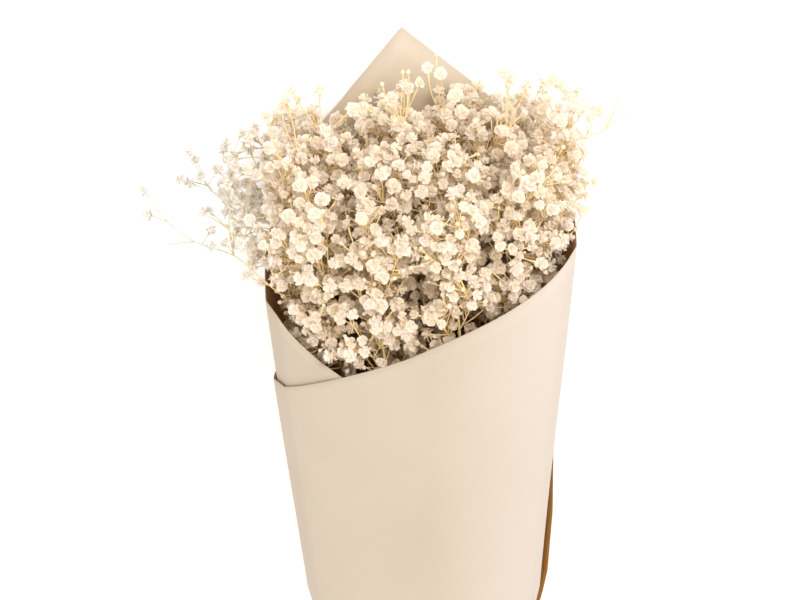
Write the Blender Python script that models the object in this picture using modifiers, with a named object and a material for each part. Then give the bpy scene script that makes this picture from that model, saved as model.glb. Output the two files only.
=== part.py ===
"""A bunch of dried gypsophila, wrapped in a rolled sheet of paper and laid on its back.

The part is in metres. +X is to the right, +Y runs from the cut ends to the flower heads and +Z is up.
The origin lies on the flat strip of paper that the bunch rests on.
Sprays of flowers leave the tied neck in the order in which they are packed there, so that each one
keeps to its own wedge of the space inside the paper and in front of it.
"""
import bisect
import math
import random

import bmesh
import bpy
from mathutils import Vector
from mathutils.bvhtree import BVHTree

COLLECTION = "gypsophila_bunch"

# Paper cone, lying on its back. Its section grows with the distance from the cone's point
APEX_X = 0.0132
APEX_Y = -0.7257
LEAN = -0.0243              # drift to the left for each metre of length
HALF_WIDTH = 0.1008         # the section's sizes are for each metre of length
SHOULDER_HEIGHT = 0.0843
CROWN_RISE = 0.0454
CROWN_POWER = 1.8
BACK_POWER = 3.0
FLATTENED = 0.0009          # how far the back is pressed flat by what lies on it
RIPPLE = 0.0012
RIPPLES_ROUND = 3           # in one turn
RIPPLE_TWIST = 9            # the next three are in radians, the first two for each metre
RIPPLE_RATE = 14
RIPPLE_START = 1

# Paper sheet: two straight edges meet in a corner at the top of the back
CORNER_RADIUS = 0.962       # from the cone's point to that corner
CORNER_ANGLE = math.radians(269.2)
RIGHT_FOOT = math.radians(39.5)
LEFT_FOOT = math.radians(48.5)
EDGE_LIFT = 0.008           # the outer flap's edge rises a little on the left
EDGE_LIFT_MIDDLE = 0.80     # in turns from the corner, as the next four
EDGE_LIFT_WIDTH = 0.09
FLARE_START = 1.10
FLARE_WIDTH = 0.15
OUTER_LAYER_START = 0.5     # from here on the sheet lies outside its own first turn
FLARE = 0.004               # the outer flap's free end stands off
PAPER = 0.0007
LAYER_PITCH = 0.0020        # paper and the air between two layers
COLUMNS_PER_TURN = 32
LEFT_COLUMNS = 20
RIGHT_COLUMNS = 40

# Neck, where the paper is gathered in pleats round the cut stems and tied
NECK_TOP_Y = -0.078
NECK_CURVE = 1.3
TIE_Y = -0.262
LOWER_Y = -0.302
NECK_ROWS = 3
UPPER_ROWS = 3
NECK_X = 0.0030
NECK_Z = 0.0192
NECK_RADIUS = 0.0123
NECK_PITCH = 0.0015
PLEATS = 8
PLEAT_DEPTH = 0.0018
SKIRT_SLOPE = 0.18          # the paper opens again below the tie
SKIRT_RISE = 0.11
CORD_RADIUS = 0.0008
CORD_PITCH = 0.0013
CORD_TURNS = 3
CORD_SIDES = 18
CORD_SECTION_SIDES = 4
TOUCH_GAP = 0.0003          # left where two pieces touch

# Cut stems
STEM_RADIUS = 0.0016
STEM_TOP_RADIUS = 0.00075
STEM_SIDES = 5
CUT_END_Y = -0.372
CUT_END_SCATTER = 0.008

# Fan of sprays: above the neck they spread as if from one point behind it
FOCUS = Vector((0.0046, -0.320, 0.0130))
FAN_START = 0.170           # distances along Y from the focus
STEM_KNOTS = (0.260, 0.330, 0.390)
FAN_REACH = 0.420           # where the fan's middle and half sizes are given
FAN_X = -0.007
FAN_Z = 0.052
FAN_HALF_WIDTH = 0.066
FAN_HALF_HEIGHT = 0.041
SWAY = 0.03                 # of the length above the fan's start
LOWEST_STEM = 0.0085
STEM_TOP_DROP = 0.048       # from the furthest heads down to the end of the stem

# Rings of sprays round the middle one: how many, how far out in the fan, how far out in the tied
# bundle, and the angle of the first in degrees
RINGS = ((6, 0.52, 0.0037, 0.0), (12, 1.0, 0.00722, 15.0))

# Twigs of a spray
TWIGS = 6
TWIG_ANGLE = math.radians(30)
TWIG_SPREAD_X = 0.034
TWIG_SPREAD_Y = 0.008
TWIG_SPREAD_Z = 0.022
SHORTEST_TWIG = 0.025
BELOW_STEM_END = (0.002, 0.030)
TWIG_RADIUS = 0.0005
TWIG_SIDES = 3
TWIG_ROOM = 2.2                 # between two twigs, in twig radii
SIDE_HEADS = (2, 3)
SIDE_ROOTS = (0.30, 0.80)       # along the twig
PEDICEL_RADIUS = 0.0004
PEDICEL_LENGTH = (0.013, 0.024)

# Flower heads, larger than life, so that fewer of them cover the bunch as densely
BLOOM_RADIUS = (0.0050, 0.0067)
BUD_RADIUS = (0.0022, 0.0030)
SPRIG_BLOOM_RADIUS = 0.0038
SIDE_BLOOM_SHARE = 0.65
PETALS = 4
NOTCH = 0.74                    # the next three are shares of the bloom's radius
UPPER_RADIUS = 0.62
UPPER_HEIGHT = 0.50
BLOOM_TOP = 0.78
BACK_RANGE = (0.405, 0.524)     # nearest and furthest heads from the focus, at the back
FRONT_RANGE = (0.375, 0.488)    # and at the front of the bunch
RANGE_CURVE = 2.2
LEFT_SLOPE = 0.05               # the bunch's top rises to the right, and rounds off at the left
RIGHT_SLOPE = 0.14
ROUNDING = 8                    # for each metre
ROUNDING_X = -0.062
SPILL = 1.10                    # how far outside the line of the paper a head may lie
RIGHT_SPILL = 1.00
LEFT_SPILL = (1.00, 1.45)       # grows from the paper's rim on, at this place along Y and rate
LEFT_SPILL_Y = 0.097
LEFT_SPILL_RATE = 6
SIDE_FROM = 0.6                 # in half widths of the paper
PAPER_ROOM = 0.001              # between a head and the paper
PAPER_ROOM_FROM = 0.75          # of a stalk's length
FLOOR_ROOM = 0.002              # under a head
FIRST_SEED = 100
TRIES = 300

# Sprigs that hang out over the paper, each as the bends of its stalk and whether it ends in a bloom.
# The first one of a spray starts at its stem, and the others start at a bend of an earlier one
LEFT_SPRIGS = (
    (((-0.0885, 0.1080, 0.079), (-0.1056, 0.1236, 0.081), (-0.1304, 0.1341, 0.086),
      (-0.1455, 0.1458, 0.088), (-0.1573, 0.1636, 0.089)), True),
    (((-0.1455, 0.1458, 0.088), (-0.1554, 0.1488, 0.084)), True),
    (((-0.1304, 0.1341, 0.086), (-0.1441, 0.1319, 0.086)), False),
    (((-0.1056, 0.1236, 0.081), (-0.1078, 0.1390, 0.083), (-0.1067, 0.1515, 0.084),
      (-0.1073, 0.1770, 0.085)), True),
    (((-0.1078, 0.1390, 0.083), (-0.1210, 0.1490, 0.088)), True),
    (((-0.1067, 0.1515, 0.084), (-0.1188, 0.1629, 0.085), (-0.1276, 0.1805, 0.086)), True),
    (((-0.1188, 0.1629, 0.085), (-0.1331, 0.1668, 0.086)), True),
)
RIGHT_SPRIGS = (
    (((0.0800, 0.1800, 0.070), (0.0930, 0.1905, 0.071), (0.1051, 0.2007, 0.071)), False),
    (((0.0930, 0.1905, 0.071), (0.0996, 0.2075, 0.072)), False),
    (((0.0800, 0.1800, 0.070), (0.0886, 0.2013, 0.074)), True),
)
SPRIGS = {12: (0.082, LEFT_SPRIGS), 7: (0.125, RIGHT_SPRIGS)}   # with the place of the root along Y

# Colour and roughness of each material
FINISHES = {
    "paper": ((0.80, 0.68, 0.50), 0.8),
    "dried_flower": ((0.83, 0.74, 0.58), 0.7),
    "cord": ((0.55, 0.40, 0.22), 0.8),
}


def remove_everything():
    for old in list(bpy.data.objects):
        bpy.data.objects.remove(old, do_unlink=True)


def material(name):
    colour, roughness = FINISHES[name]
    made = bpy.data.materials.new(name)
    made.use_nodes = True
    shader = made.node_tree.nodes["Principled BSDF"]
    shader.inputs["Base Color"].default_value = (*colour, 1.0)
    shader.inputs["Roughness"].default_value = roughness
    made.diffuse_color = (*colour, 1.0)
    return made


# Paper: the cone's section, and the angle that the sheet turns through when it is laid flat

def signed_power(value, power):
    return math.copysign(abs(value) ** power, value)


def section_line(angle):
    """Line of the cone at an angle round its section, as it moves one metre along Y."""
    across, up = math.cos(angle), math.sin(angle)
    power = CROWN_POWER if up >= 0 else BACK_POWER
    rise = CROWN_RISE if up >= 0 else SHOULDER_HEIGHT
    x = HALF_WIDTH * signed_power(across, 2 / power)
    z = SHOULDER_HEIGHT + rise * signed_power(up, 2 / power)
    return Vector((x + LEAN, 1.0, z))


def unrolled_angles(steps=1440):
    """Angle in the flat sheet at each step round the section, from the sheet's corner."""
    angles = [0.0]
    last = section_line(CORNER_ANGLE).normalized()
    for step in range(1, steps + 1):
        line = section_line(CORNER_ANGLE + math.tau * step / steps).normalized()
        angles.append(angles[-1] + last.angle(line))
        last = line
    return angles


UNROLLED = unrolled_angles()
FULL_TURN = UNROLLED[-1]


def cone_line(turns):
    """Line of the cone at a number of turns to the right of the sheet's corner."""
    wanted = (turns % 1.0) * FULL_TURN
    step = max(1, bisect.bisect_left(UNROLLED, wanted))
    part = (wanted - UNROLLED[step - 1]) / (UNROLLED[step] - UNROLLED[step - 1])
    return section_line(CORNER_ANGLE + math.tau * (step - 1 + part) / (len(UNROLLED) - 1))


def edge_y(turns):
    """Place along Y of the sheet's upper edge."""
    angle = turns * FULL_TURN
    if turns < 0:
        radius = CORNER_RADIUS * math.cos(LEFT_FOOT) / math.cos(LEFT_FOOT + angle)
    else:
        radius = CORNER_RADIUS * math.cos(RIGHT_FOOT) / math.cos(RIGHT_FOOT - angle)
        radius += EDGE_LIFT * math.exp(-((turns - EDGE_LIFT_MIDDLE) / EDGE_LIFT_WIDTH) ** 2)
    return APEX_Y + radius / cone_line(turns).length


def row_y(turns, row):
    """Place along Y of a row of the sheet, from its lower end up."""
    if row < 2:
        return (LOWER_Y, TIE_Y)[row]
    if row <= 1 + NECK_ROWS:
        return TIE_Y + (NECK_TOP_Y - TIE_Y) * (row - 1) / NECK_ROWS
    return NECK_TOP_Y + (edge_y(turns) - NECK_TOP_Y) * (row - 1 - NECK_ROWS) / UPPER_ROWS


def gathered(y):
    """How far the paper is drawn in towards the neck: 0 in the cone, 1 at the tie and below it."""
    return min(1.0, max(0.0, (NECK_TOP_Y - y) / (NECK_TOP_Y - TIE_Y))) ** NECK_CURVE


def sheet_point(turns, y):
    """Point in the middle of the paper's thickness."""
    step = 0.002
    line = cone_line(turns)
    cone_outward = line.cross(cone_line(turns + step) - cone_line(turns - step)).normalized()
    cone = Vector((APEX_X, APEX_Y, PAPER / 2 + LAYER_PITCH - FLATTENED)) + line * (y - APEX_Y)
    angle = CORNER_ANGLE + math.tau * turns
    neck_outward = Vector((math.cos(angle), 0, math.sin(angle)))
    below = max(0.0, TIE_Y - y)
    neck = Vector((NECK_X, y, NECK_Z + SKIRT_RISE * below))
    neck += neck_outward * (NECK_RADIUS + SKIRT_SLOPE * below)
    share = gathered(y)
    loose_end = max(0.0, (turns - FLARE_START) / FLARE_WIDTH)
    ripple = math.sin(RIPPLES_ROUND * math.tau * turns + RIPPLE_TWIST * y)
    ripple *= RIPPLE * math.sin(RIPPLE_RATE * y + RIPPLE_START)
    offset = (LAYER_PITCH + (NECK_PITCH - LAYER_PITCH) * share) * turns
    offset += (1 - share) * (ripple + FLARE * loose_end ** 2)
    offset += share ** 2 * PLEAT_DEPTH * math.cos(PLEATS * math.tau * turns)
    point = cone.lerp(neck, share) + cone_outward.lerp(neck_outward, share).normalized() * offset
    lowest = PAPER / 2 if turns > OUTER_LAYER_START else PAPER / 2 + LAYER_PITCH
    point.z = max(point.z, lowest)
    return point


def paper_wrap(finish):
    """Sheet of paper, rolled into a cone with its flaps over each other."""
    columns = LEFT_COLUMNS + RIGHT_COLUMNS
    rows = 1 + NECK_ROWS + UPPER_ROWS
    bpy.ops.mesh.primitive_grid_add(x_subdivisions=columns, y_subdivisions=rows, size=1)
    sheet = bpy.context.object
    sheet.name = "paper_wrap"
    for vertex in sheet.data.vertices:
        turns = (round((vertex.co.x + 0.5) * columns) - LEFT_COLUMNS) / COLUMNS_PER_TURN
        vertex.co = sheet_point(turns, row_y(turns, round((vertex.co.y + 0.5) * rows)))
    sheet.data.shade_smooth()
    thickness = sheet.modifiers.new("paper", "SOLIDIFY")
    thickness.thickness = PAPER
    thickness.offset = 0
    sheet.data.materials.append(finish)
    return sheet


# Places of the sprays

def spray_sites():
    """Place of each spray in the fan, from -1 to 1 each way, and its place in the tied bundle."""
    sites = [((0.0, 0.0), (0.0, 0.0))]
    for count, size, radius, start in RINGS:
        for number in range(count):
            angle = math.radians(start + 360 * number / count)
            across, up = math.cos(angle), math.sin(angle)
            sites.append(((size * across, size * up), (radius * across, radius * up)))
    return sites


SITES = spray_sites()


def fan_point(site, distance):
    """Point on a spray's line at a distance along Y from the focus."""
    target = Vector((FAN_X + site[0] * FAN_HALF_WIDTH, FOCUS.y + FAN_REACH,
                     FAN_Z + site[1] * FAN_HALF_HEIGHT))
    return FOCUS + (target - FOCUS) * (distance / FAN_REACH)


def wedge_planes(number):
    """Outward normals, through the focus, of the planes that part a spray from its neighbours."""
    own = SITES[number][0]
    planes = []
    for other, _ in SITES[:number] + SITES[number + 1:]:
        across, up = other[0] - own[0], other[1] - own[1]
        middle = ((own[0] + other[0]) * across + (own[1] + other[1]) * up) / 2
        drift = across * (FOCUS.x - FAN_X) / FAN_HALF_WIDTH + up * (FOCUS.z - FAN_Z) / FAN_HALF_HEIGHT
        planes.append(Vector((across * FAN_REACH / FAN_HALF_WIDTH, drift - middle,
                              up * FAN_REACH / FAN_HALF_HEIGHT)).normalized())
    return planes


def head_range(point):
    """Nearest and furthest distance of a head from the focus, towards a point."""
    seen = FOCUS + (point - FOCUS) * FAN_REACH / (point.y - FOCUS.y)
    front = min(1.0, max(0.0, ((seen.z - FAN_Z) / FAN_HALF_HEIGHT + 1) / 2)) ** RANGE_CURVE
    lowest, highest = [back + (fore - back) * front for back, fore in zip(BACK_RANGE, FRONT_RANGE)]
    highest += seen.x * (RIGHT_SLOPE if seen.x > 0 else LEFT_SLOPE)
    return lowest, highest - ROUNDING * max(0.0, ROUNDING_X - seen.x) ** 2


def spills(point):
    """True where a point lies too far outside the line of the paper."""
    length = point.y - APEX_Y
    x = (point.x - APEX_X) / length - LEAN
    z = point.z / length - SHOULDER_HEIGHT
    power = CROWN_POWER if z >= 0 else BACK_POWER
    rise = CROWN_RISE if z >= 0 else SHOULDER_HEIGHT
    place = (abs(x / HALF_WIDTH) ** power + abs(z / rise) ** power) ** (1 / power)
    if x < -SIDE_FROM * HALF_WIDTH:
        least, most = LEFT_SPILL
        return place > min(most, max(least, least + LEFT_SPILL_RATE * (point.y - LEFT_SPILL_Y)))
    return place > (RIGHT_SPILL if x > SIDE_FROM * HALF_WIDTH else SPILL)


def to_line(point, line):
    """Distance from a point to a straight twig."""
    start, end = line
    way = end - start
    share = min(1.0, max(0.0, (point - start).dot(way) / way.length_squared))
    return (point - start - way * share).length


def between_lines(one, other, steps=8):
    """Smallest distance between two straight twigs, measured from points along the first."""
    return min(to_line(one[0].lerp(one[1], step / steps), other) for step in range(steps + 1))


# Solids of a spray

def ring(mesh, centre, axis, radius, count, notch=1.0, start=0.0):
    """Ring of points round an axis. Every second one is drawn in where notch is below 1."""
    turn = axis.to_track_quat("Z", "Y")
    made = []
    for number in range(count):
        angle = start + math.tau * number / count
        size = radius * (notch if number % 2 else 1.0)
        offset = Vector((size * math.cos(angle), size * math.sin(angle), 0))
        made.append(mesh.verts.new(centre + turn @ offset))
    return made


def loft(mesh, lower, upper):
    """Triangles between two rings that may differ in their number of points."""
    low, high = 0, 0
    while low < len(lower) or high < len(upper):
        if high == len(upper) or (low < len(lower) and (low + 1) / len(lower) <= (high + 1) / len(upper)):
            mesh.faces.new((lower[low], lower[(low + 1) % len(lower)], upper[high % len(upper)]))
            low += 1
        else:
            mesh.faces.new((lower[low % len(lower)], upper[(high + 1) % len(upper)], upper[high]))
            high += 1


def tube(mesh, points, radii, sides):
    """Rings along a line of points, lofted to each other, and closed at the first."""
    rings = []
    for number, point in enumerate(points):
        before = points[max(0, number - 1)]
        after = points[min(len(points) - 1, number + 1)]
        radius = radii[0] + (radii[1] - radii[0]) * (number / (len(points) - 1)) ** 2
        rings.append(ring(mesh, point, (after - before).normalized(), radius, sides))
    for lower, upper in zip(rings, rings[1:]):
        loft(mesh, lower, upper)
    mesh.faces.new(rings[0])
    return rings[-1]


def bloom_or_bud(mesh, neck_ring, middle, axis, size, is_bloom):
    """Head on the last ring of a stalk. A double bloom has petals in two layers, a bud is closed."""
    if is_bloom:
        widest = ring(mesh, middle, axis, size, 2 * PETALS, NOTCH)
        upper = ring(mesh, middle + axis * size * UPPER_HEIGHT, axis, size * UPPER_RADIUS, PETALS,
                     start=math.pi / PETALS)
        loft(mesh, widest, upper)
    else:
        widest = upper = ring(mesh, middle, axis, size, PETALS)
    loft(mesh, neck_ring, widest)
    tip = mesh.verts.new(middle + axis * size * (BLOOM_TOP if is_bloom else 1.0))
    for number, vertex in enumerate(upper):
        mesh.faces.new((vertex, upper[(number + 1) % len(upper)], tip))


def solid(mesh, name, collection):
    """Object of a finished mesh, with its faces turned outward."""
    bmesh.ops.recalc_face_normals(mesh, faces=mesh.faces)
    data = bpy.data.meshes.new(name)
    mesh.to_mesh(data)
    mesh.free()
    made = bpy.data.objects.new(name, data)
    collection.objects.link(made)
    return made


def union(base, parts):
    """Fuse a collection of solids into the base, then remove them."""
    joined = base.modifiers.new("joined", "BOOLEAN")
    joined.operation = "UNION"
    joined.operand_type = "COLLECTION"
    joined.collection = parts
    graph = bpy.context.evaluated_depsgraph_get()
    fused = bpy.data.meshes.new_from_object(base.evaluated_get(graph))
    base.modifiers.remove(joined)
    base.data = fused
    for part in list(parts.objects):
        bpy.data.objects.remove(part, do_unlink=True)
    bpy.data.collections.remove(parts)


def parts_collection(name):
    made = bpy.data.collections.new(name)
    bpy.context.scene.collection.children.link(made)
    return made


class Spray:
    """One cut stem, and the twigs, blooms and buds that have grown on it so far."""

    def __init__(self, number, paper):
        self.number = number
        self.site, self.place = SITES[number]
        self.draw = random.Random(FIRST_SEED + number)
        self.planes = wedge_planes(number)
        self.paper = paper
        self.parts = parts_collection("spray_parts")
        self.heads = []
        self.twigs = []
        self.stem = self.stem_points()

    def stem_points(self):
        """Middle line of the stem, from its cut end to the root of its topmost head."""
        cut = CUT_END_Y + self.draw.uniform(-1, 1) * CUT_END_SCATTER
        tied = Vector((NECK_X + self.place[0], TIE_Y, NECK_Z + self.place[1]))
        points = [Vector((tied.x, cut, tied.z)), tied, fan_point(self.site, FAN_START)]
        top = head_range(fan_point(self.site, FAN_REACH))[1] - STEM_TOP_DROP
        for distance in (*STEM_KNOTS, top):
            sway = SWAY * (distance - FAN_START)
            shift = Vector((self.draw.uniform(-1, 1), 0, self.draw.uniform(-1, 1))) * sway
            point = fan_point(self.site, distance) + shift
            point.z = max(point.z, LOWEST_STEM)
            points.append(point)
        return points

    def stem_at(self, y):
        for before, after in zip(self.stem, self.stem[1:]):
            if y <= after.y:
                return before.lerp(after, (y - before.y) / (after.y - before.y))
        return self.stem[-1].copy()

    def clear_of_paper(self, root, tip, size, steps=8):
        for step in range(steps + 1):
            room = size + PAPER_ROOM if step > PAPER_ROOM_FROM * steps else 2 * TWIG_RADIUS
            near = self.paper.find_nearest(root.lerp(tip, step / steps), room)
            if near[0] is not None:
                return False
        way = tip - root
        return self.paper.ray_cast(root, way.normalized(), way.length)[0] is None

    def has_room(self, root, tip, size, parent=None):
        """True where a straight stalk with a head at its tip touches nothing but its parent."""
        lowest, highest = head_range(tip)
        if not lowest < (tip - FOCUS).length < highest or spills(tip) or tip.z < size + FLOOR_ROOM:
            return False
        if any(plane.dot(tip - FOCUS) > -size - TOUCH_GAP for plane in self.planes):
            return False
        if any((tip - other).length < size + other_size for other, other_size in self.heads):
            return False
        others = [twig for twig in self.twigs if twig is not parent]
        if any(between_lines((root, tip), twig) < TWIG_ROOM * TWIG_RADIUS for twig in others):
            return False
        stem_runs = list(zip(self.stem, self.stem[1:]))
        if any(to_line(tip, run) < size + TWIG_RADIUS for run in others + stem_runs):
            return False
        if any(to_line(head, (root, tip)) < head_size + TWIG_RADIUS for head, head_size in self.heads):
            return False
        return self.clear_of_paper(root, tip, size)

    def grow(self, points, size, is_bloom, radii):
        """Stalk along a line of points, whose root is sunk in what carries it, with a head at its end."""
        mesh = bmesh.new()
        axis = (points[-1] - points[-2]).normalized()
        neck_ring = tube(mesh, [*points[:-1], points[-1] - axis * size], radii, TWIG_SIDES)
        if size:
            bloom_or_bud(mesh, neck_ring, points[-1], axis, size, is_bloom)
        else:
            mesh.faces.new(neck_ring)
        solid(mesh, "stalk", self.parts)
        self.heads.append((points[-1], size))
        self.twigs.extend(zip(points, points[1:]))
        return self.twigs[-1]

    def sprigs(self, root_y, lines):
        """Sprigs along given lines of bends, the first one from the stem."""
        root = self.stem_at(root_y)
        for line, has_bloom in lines:
            points = [Vector(bend) for bend in line]
            if root:
                points.insert(0, root)
                root = None
            self.grow(points, SPRIG_BLOOM_RADIUS if has_bloom else 0.0, True, (TWIG_RADIUS, PEDICEL_RADIUS))

    def twig(self, level):
        """Twig from the stem to a bloom about level away from the focus, with more heads on it."""
        draw = self.draw
        for _ in range(TRIES):
            size = draw.uniform(*BLOOM_RADIUS)
            spread = Vector((draw.uniform(-1, 1) * TWIG_SPREAD_X, draw.uniform(-1, 1) * TWIG_SPREAD_Y,
                             draw.uniform(-1, 1) * TWIG_SPREAD_Z))
            tip = fan_point(self.site, level) + spread
            sideways = (tip - fan_point(self.site, tip.y - FOCUS.y)).length
            back = max(SHORTEST_TWIG, sideways / math.tan(TWIG_ANGLE))
            highest_root = self.stem[-1].y - draw.uniform(*BELOW_STEM_END)
            root = self.stem_at(min(highest_root, tip.y - back))
            if self.has_room(root, tip, size):
                twig = self.grow((root, tip), size, True, (TWIG_RADIUS, TWIG_RADIUS))
                for _ in range(draw.choice(SIDE_HEADS)):
                    self.side_head(twig)
                return

    def side_head(self, twig):
        """Shorter stalk from the middle of a twig, with its own bloom or bud."""
        draw = self.draw
        axis = (twig[1] - twig[0]).normalized()
        is_bloom = draw.random() < SIDE_BLOOM_SHARE
        for _ in range(TRIES):
            size = draw.uniform(*(BLOOM_RADIUS if is_bloom else BUD_RADIUS))
            start = twig[0].lerp(twig[1], draw.uniform(*SIDE_ROOTS))
            across = axis.cross(Vector((draw.uniform(-1, 1), draw.uniform(-1, 1), draw.uniform(-1, 1))))
            end = start + (axis + across.normalized()).normalized() * draw.uniform(*PEDICEL_LENGTH)
            if self.has_room(start, end, size, twig):
                self.grow((start, end), size, is_bloom, (PEDICEL_RADIUS, PEDICEL_RADIUS))
                return

    def fused(self, finish, home):
        mesh = bmesh.new()
        last_ring = tube(mesh, self.stem, (STEM_RADIUS, STEM_TOP_RADIUS), STEM_SIDES)
        mesh.faces.new(last_ring)
        made = solid(mesh, f"gypsophila_spray_{self.number + 1:02d}", home)
        union(made, self.parts)
        made.data.materials.clear()
        made.data.materials.append(finish)
        return made


def spray(number, paper, finish, home):
    """One cut stem with its twigs, blooms and buds, fused into one solid."""
    grown = Spray(number, paper)
    if number in SPRIGS:
        grown.sprigs(*SPRIGS[number])
    lowest, highest = head_range(fan_point(grown.site, FAN_REACH))
    for step in reversed(range(TWIGS)):
        grown.twig(lowest + (highest - lowest) * (step + 0.5) / TWIGS)
    return grown.fused(finish, home)


def neck_cord(finish):
    """Cord that is wound round the paper's neck, its turns fused into one ring."""
    outermost = NECK_RADIUS + NECK_PITCH * RIGHT_COLUMNS / COLUMNS_PER_TURN + PLEAT_DEPTH + PAPER
    inside = (outermost + TOUCH_GAP) / math.cos(math.pi / CORD_SIDES)
    made = []
    for number in range(CORD_TURNS):
        place = TIE_Y + (number - (CORD_TURNS - 1) / 2) * CORD_PITCH
        bpy.ops.mesh.primitive_torus_add(
            major_radius=inside + CORD_RADIUS, minor_radius=CORD_RADIUS, major_segments=CORD_SIDES,
            minor_segments=CORD_SECTION_SIDES, rotation=(math.pi / 2, 0, 0),
            location=(NECK_X, place, NECK_Z))
        made.append(bpy.context.object)
    turns = parts_collection("cord_turns")
    for other in made[1:]:
        other.users_collection[0].objects.unlink(other)
        turns.objects.link(other)
    cord = made[0]
    union(cord, turns)
    cord.name = "neck_cord"
    cord.data.materials.clear()
    cord.data.materials.append(finish)
    return cord


def build():
    remove_everything()
    home = parts_collection(COLLECTION)
    layers = bpy.context.view_layer.layer_collection.children
    bpy.context.view_layer.active_layer_collection = layers[COLLECTION]
    wrap = paper_wrap(material("paper"))
    shell = BVHTree.FromObject(wrap, bpy.context.evaluated_depsgraph_get())
    finish = material("dried_flower")
    for number in range(len(SITES)):
        spray(number, shell, finish, home)
    neck_cord(material("cord"))


build()
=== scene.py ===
"""Looks of a bunch of dried gypsophila, wrapped in a rolled sheet of paper and laid on its back.

Each piece stands where its solid in the frame is. +Y runs to the flower heads and +Z is up.
"""
import bisect
import itertools
import math
import random

import bpy
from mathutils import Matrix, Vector
from mathutils.bvhtree import BVHTree


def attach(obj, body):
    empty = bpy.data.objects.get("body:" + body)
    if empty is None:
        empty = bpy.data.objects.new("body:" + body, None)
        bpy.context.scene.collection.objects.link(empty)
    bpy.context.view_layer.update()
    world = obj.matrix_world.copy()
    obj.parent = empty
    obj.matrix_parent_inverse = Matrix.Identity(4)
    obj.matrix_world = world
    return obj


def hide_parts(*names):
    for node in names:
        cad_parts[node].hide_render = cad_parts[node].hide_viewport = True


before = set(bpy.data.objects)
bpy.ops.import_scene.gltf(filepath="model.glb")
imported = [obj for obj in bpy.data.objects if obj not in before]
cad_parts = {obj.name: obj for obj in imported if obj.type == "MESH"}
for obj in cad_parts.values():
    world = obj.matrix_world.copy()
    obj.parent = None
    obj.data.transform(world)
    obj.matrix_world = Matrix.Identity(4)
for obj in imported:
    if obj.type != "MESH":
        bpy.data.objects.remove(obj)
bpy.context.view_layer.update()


# Paper. One square sheet of plain kraft paper is rolled into a cone from its corner, and its lower end
# is gathered in pleats and tied. The section is flat at the back, where the bunch lies, and round at
# the front, and its sizes are for each metre of length from the cone's point

half_width = 0.1008
cone_lean = -0.0243           # drift to the left
shoulder_height = 0.0843      # where the section is widest
crown_rise, crown_power = 0.0454, 1.8
back_power = 3.0
section_steps = 1440
corner_angle = math.radians(269.2)
cone_x, cone_start, cone_z = 0.0132, -0.7257, 0.00145


def signed_power(value, power):
    return math.copysign(abs(value) ** power, value)


def section_curve(up):
    """Height and power of the section's curve, above its shoulders or below them."""
    return (crown_rise, crown_power) if up >= 0 else (shoulder_height, back_power)


def section_line(angle):
    """Line of the cone at an angle round its section, as it moves one metre along Y."""
    across, up = math.cos(angle), math.sin(angle)
    rise, power = section_curve(up)
    return Vector((half_width * signed_power(across, 2 / power) + cone_lean, 1.0,
                   shoulder_height + rise * signed_power(up, 2 / power)))


unrolled = [0.0]
last_line = section_line(corner_angle).normalized()
for step in range(1, section_steps + 1):
    line = section_line(corner_angle + math.tau * step / section_steps).normalized()
    unrolled.append(unrolled[-1] + last_line.angle(line))
    last_line = line
full_turn = unrolled[-1]


def cone_line(turns):
    """Line of the cone at a number of turns to the right of the sheet's corner."""
    wanted = (turns % 1.0) * full_turn
    step = max(1, bisect.bisect_left(unrolled, wanted))
    part = (wanted - unrolled[step - 1]) / (unrolled[step] - unrolled[step - 1])
    return section_line(corner_angle + math.tau * (step - 1 + part) / section_steps)


def clamped(value):
    return min(1.0, max(0.0, value))


def bell(value, middle, width):
    """1 in the middle of a soft hump, and less on both sides of it."""
    return math.exp(-((value - middle) / width) ** 2)


corner_reach = 0.962          # from the cone's point to the sheet's corner
left_foot, right_foot = math.radians(48.5), math.radians(-39.5)
edge_lift = 0.008             # the outer flap's edge rises a little on the left


def edge_y(turns):
    """Place along Y of the sheet's upper edge. Its two straight edges meet in a corner."""
    angle = turns * full_turn
    foot = left_foot if turns < 0 else right_foot
    radius = corner_reach * math.cos(foot) / math.cos(foot + angle)
    if turns >= 0:
        radius += edge_lift * bell(turns, 0.80, 0.09)
    return cone_start + radius / cone_line(turns).length


inner_dip, outer_dip = 0.0050, 0.0075
end_rise = 0.013              # for each end_width of a turn past end_start
end_start, end_width = 1.05, 0.20


def edge_dip(turns):
    """How much lower the edge hangs at the front, where it is bent outward by the heads."""
    if turns < 0:
        return inner_dip * bell(turns, -0.45, 0.15)
    return outer_dip * bell(turns, 0.50, 0.20) - end_rise * max(0.0, (turns - end_start) / end_width)


tie_y, lower_y, neck_top_y = -0.262, -0.302, -0.078
neck = Vector((0.0030, tie_y, 0.0192))
neck_radius = 0.0123
neck_curve = 1.3
skirt_slope, skirt_rise = 0.18, 0.11      # the paper opens again below the tie
pleats, pleat_depth = 8, 0.0018
ripple_height, ripples_round = 0.0012, 3
ripple_twist, ripple_rate, ripple_start = 9, 14, 1      # in radians, the first two for each metre
layer_gap, gap_lost_at_neck = 0.0020, 0.0005
flare_start, flare_width = 1.10, 0.15
outer_from = 0.5                               # turns from the corner at which the outer layer starts
outer_rest, inner_rest = 0.00035, 0.00235      # lowest height of the outer and the inner layer
small_turn = 0.002


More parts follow.
